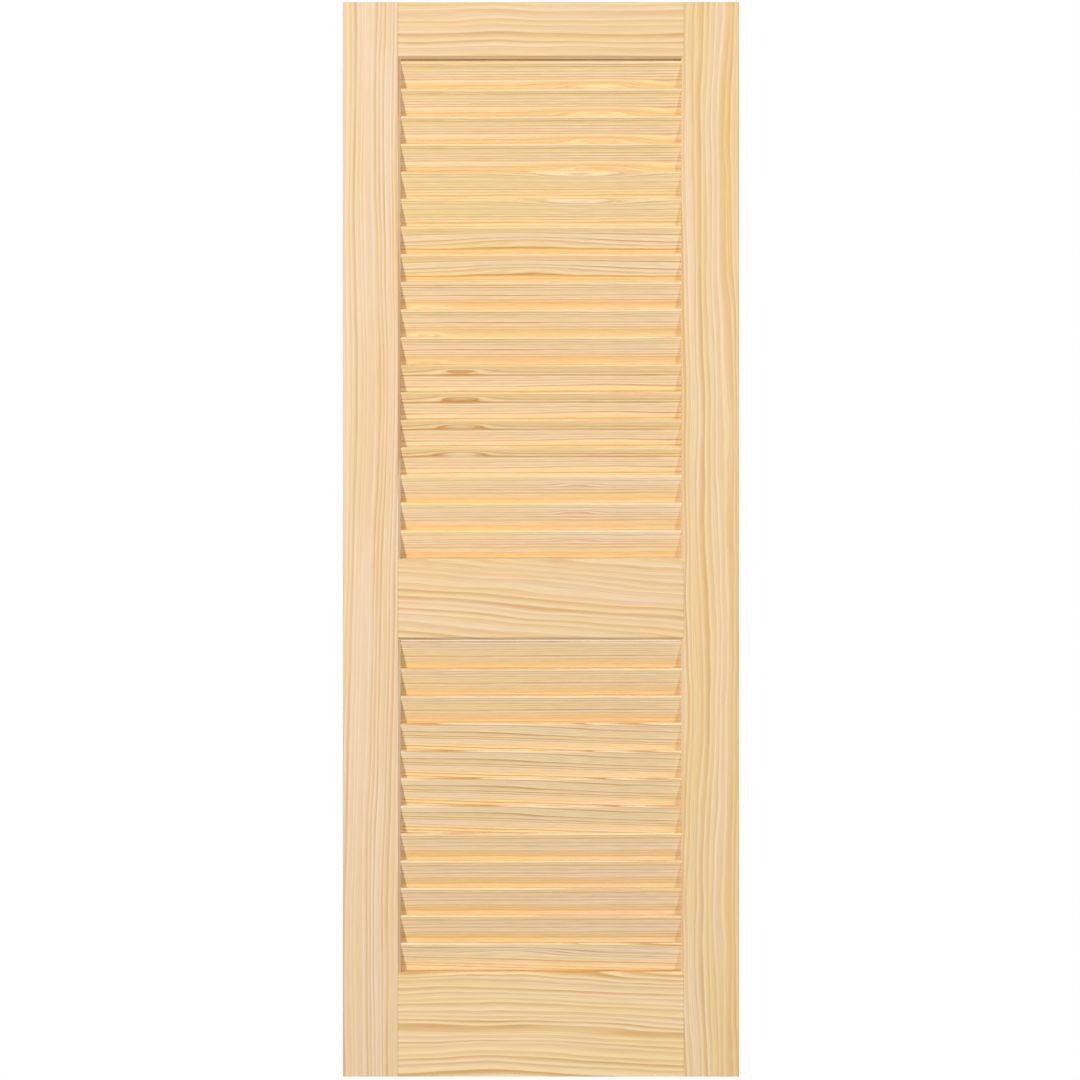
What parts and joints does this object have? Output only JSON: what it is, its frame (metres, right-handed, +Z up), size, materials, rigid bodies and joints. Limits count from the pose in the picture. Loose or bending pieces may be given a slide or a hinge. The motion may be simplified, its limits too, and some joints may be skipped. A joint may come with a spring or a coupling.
{
  "type": "louvered door leaf",
  "caption": "Full-louvered solid pine door leaf: two stiles, a top, middle and bottom rail, and two panels of fixed tilted louvers seated in slots in the stiles.",
  "frame": {"origin": "middle of the leaf's top edge, at mid thickness, on the flat face that hanging hardware is fastened to", "axes": "+X across the leaf to its right-hand stile as seen from the front, +Y from the front face to the back face, +Z up"},
  "size_m": [0.7494, 0.0348, 2.032],
  "materials": {
    "stile_pine": "bare sanded pine, grain along the stile",
    "rail_pine": "bare sanded pine, grain along the rail",
    "louver_pine": "bare sanded pine, fine straight grain along the louver"
  },
  "bodies": {
    "root": {"left_stile": "stile_pine", "right_stile": "stile_pine", "top_rail": "rail_pine", "middle_rail": "rail_pine", "bottom_rail": "rail_pine", "upper_slat_01": "louver_pine", "upper_slat_02": "louver_pine", "upper_slat_03": "louver_pine", "upper_slat_04": "louver_pine", "upper_slat_05": "louver_pine", "upper_slat_06": "louver_pine", "upper_slat_07": "louver_pine", "upper_slat_08": "louver_pine", "upper_slat_09": "louver_pine", "upper_slat_10": "louver_pine", "upper_slat_11": "louver_pine", "upper_slat_12": "louver_pine", "upper_slat_13": "louver_pine", "upper_slat_14": "louver_pine", "upper_slat_15": "louver_pine", "upper_slat_16": "louver_pine", "upper_slat_17": "louver_pine", "upper_slat_18": "louver_pine", "lower_slat_01": "louver_pine", "lower_slat_02": "louver_pine", "lower_slat_03": "louver_pine", "lower_slat_04": "louver_pine", "lower_slat_05": "louver_pine", "lower_slat_06": "louver_pine", "lower_slat_07": "louver_pine", "lower_slat_08": "louver_pine", "lower_slat_09": "louver_pine", "lower_slat_10": "louver_pine", "lower_slat_11": "louver_pine", "lower_slat_12": "louver_pine"}
  },
  "joints": []
}
